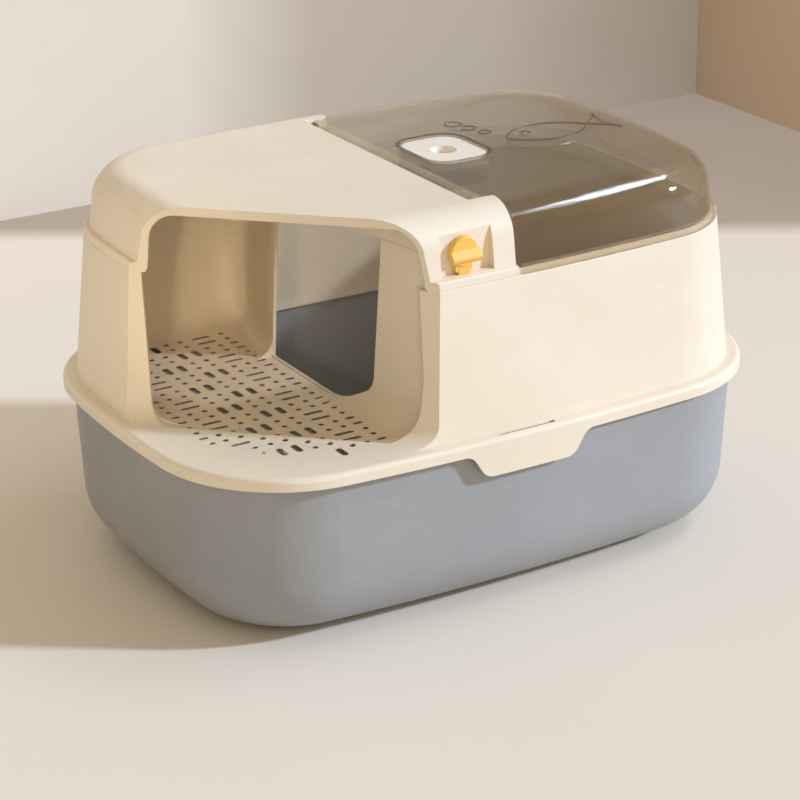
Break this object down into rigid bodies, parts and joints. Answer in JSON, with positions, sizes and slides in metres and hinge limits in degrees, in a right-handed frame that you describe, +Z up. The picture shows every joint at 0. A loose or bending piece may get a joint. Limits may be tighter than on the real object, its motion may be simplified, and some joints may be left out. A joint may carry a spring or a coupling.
{
  "type": "covered litter box",
  "caption": "Covered litter box for a cat: deep tray, hood with corner entrance and perforated deck, latched cover, hinged clear lid with a deodoriser case.",
  "frame": {"origin": "centre of the footprint on the floor, under the box", "axes": "+X along the long side towards the end under the clear lid, +Y across towards the far side, +Z up; the corner entrance is at -X -Y"},
  "size_m": [0.5398, 0.386, 0.3285],
  "materials": {
    "tray_plastic": "matte moulded polypropylene, blue grey",
    "hood_plastic": "matte moulded polypropylene, cream",
    "cover_plastic": "matte moulded polypropylene, cream",
    "clear_plastic": "clear, slightly smoky, glossy",
    "latch_plastic": "matte yellow",
    "clip_plastic": "matte cream",
    "case_plastic": "clear, glossy",
    "cap_plastic": "white, satin",
    "foot_rubber": "matte rubber"
  },
  "bodies": {
    "base": {"litter_tray": "tray_plastic", "foot_pad_left_near": "foot_rubber", "foot_pad_left_far": "foot_rubber", "foot_pad_right_near": "foot_rubber", "foot_pad_right_far": "foot_rubber"},
    "hood": {"hood_shell": "hood_plastic"},
    "cover": {"top_cover": "cover_plastic"},
    "lid": {"clear_lid": "clear_plastic", "deodoriser_case": "case_plastic"},
    "cap": {"deodoriser_cap": "cap_plastic"},
    "latch_near": {"latch_slider_near": "latch_plastic", "latch_clip_near": "clip_plastic"},
    "latch_far": {"latch_slider_far": "latch_plastic", "latch_clip_far": "clip_plastic"}
  },
  "joints": [
    {"name": "hood_lift", "type": "slide", "parent": "base", "child": "hood", "axis": [0, 0, 1], "range_m": [0, 0.12]},
    {"name": "cover_lift", "type": "slide", "parent": "hood", "child": "cover", "axis": [0, 0, 1], "range_m": [0, 0.08]},
    {"name": "lid_hinge", "type": "hinge", "parent": "cover", "child": "lid", "pos_m": [-0.008, 0, 0.3205], "axis": [0, -1, 0], "range_deg": [0, 105]},
    {"name": "cap_lift", "type": "slide", "parent": "lid", "child": "cap", "axis": [0, 0, 1], "range_m": [0, 0.03]},
    {"name": "latch_near_slide", "type": "slide", "parent": "cover", "child": "latch_near", "axis": [0, 0, 1], "range_m": [0, 0.006]},
    {"name": "latch_far_slide", "type": "slide", "parent": "cover", "child": "latch_far", "axis": [0, 0, 1], "range_m": [0, 0.006]}
  ]
}
